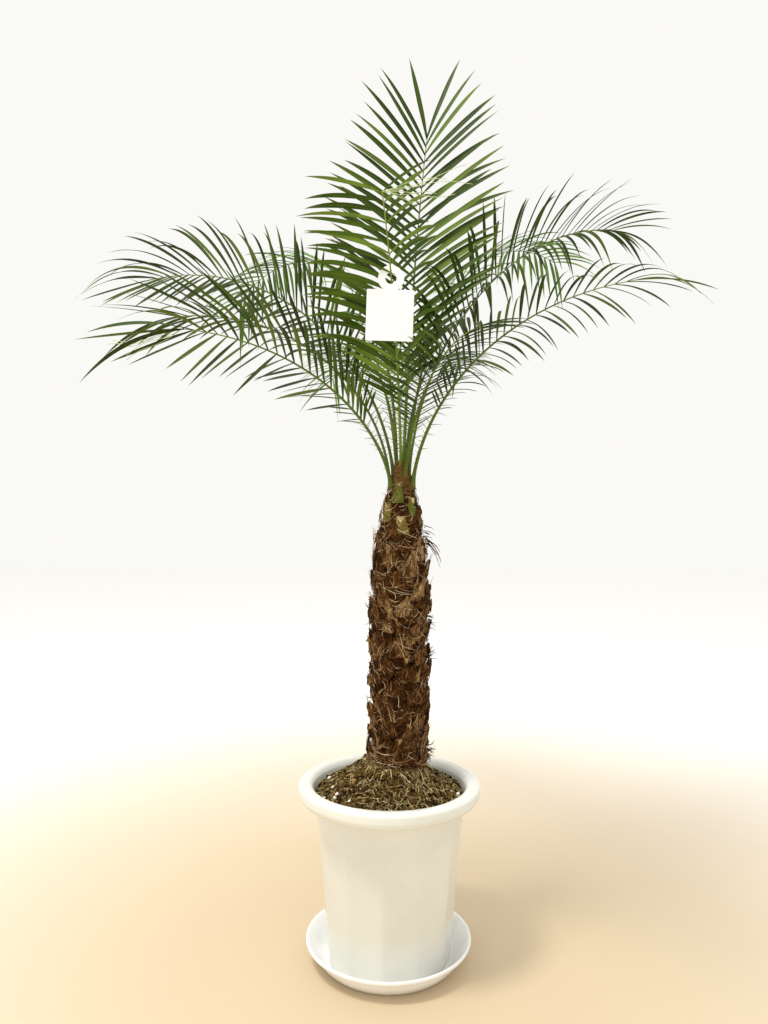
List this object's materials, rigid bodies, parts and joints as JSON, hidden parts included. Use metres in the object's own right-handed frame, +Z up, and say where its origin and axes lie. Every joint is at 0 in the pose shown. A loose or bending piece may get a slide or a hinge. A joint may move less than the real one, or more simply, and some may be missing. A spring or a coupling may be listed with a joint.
{
  "type": "potted pygmy date palm",
  "caption": "Small single-trunk feather palm with arching fronds, planted in a round fluted pot that stands in a saucer, with a blank hanging label.",
  "frame": {"origin": "centre of the saucer's flat underside, on the floor", "axes": "+Z up along the trunk, -Y towards the hanging label, +X to its right seen from the label's side"},
  "size_m": [1.3022, 0.9623, 1.6704],
  "materials": {
    "glaze": "smooth glossy off-white moulded plastic",
    "soil": "moist dark potting soil with fine pale roots",
    "bark": "brown fibrous trunk with old leaf bases",
    "stub": "cut green leaf stalks with pale cut faces",
    "frond": "green leaflets on a green rachis, slightly waxy",
    "card": "plain matt white card"
  },
  "bodies": {
    "root": {"saucer": "glaze", "pot": "glaze", "soil": "soil", "trunk": "bark", "petiole_stub_1": "stub", "petiole_stub_2": "stub", "petiole_stub_3": "stub", "petiole_stub_4": "stub", "petiole_stub_5": "stub", "petiole_stub_6": "stub", "petiole_stub_7": "stub", "petiole_stub_8": "stub", "petiole_stub_9": "stub", "plant_label": "card", "frond_crown_back": "frond", "frond_crown_front": "frond", "frond_left_high_inner": "frond", "frond_left_high_outer": "frond", "frond_left_low_inner": "frond", "frond_left_low_outer": "frond", "frond_left_mid_inner": "frond", "frond_left_mid_outer": "frond", "frond_back_left_inner": "frond", "frond_back_left_outer": "frond", "frond_right_high_inner": "frond", "frond_right_high_outer": "frond", "frond_right_low_inner": "frond", "frond_right_low_outer": "frond", "frond_back_right_inner": "frond", "frond_back_right_outer": "frond", "frond_back_low_inner": "frond", "frond_back_low_outer": "frond", "frond_back_side_inner": "frond", "frond_back_side_outer": "frond", "frond_front_low_inner": "frond", "frond_front_low_outer": "frond"}
  },
  "joints": []
}
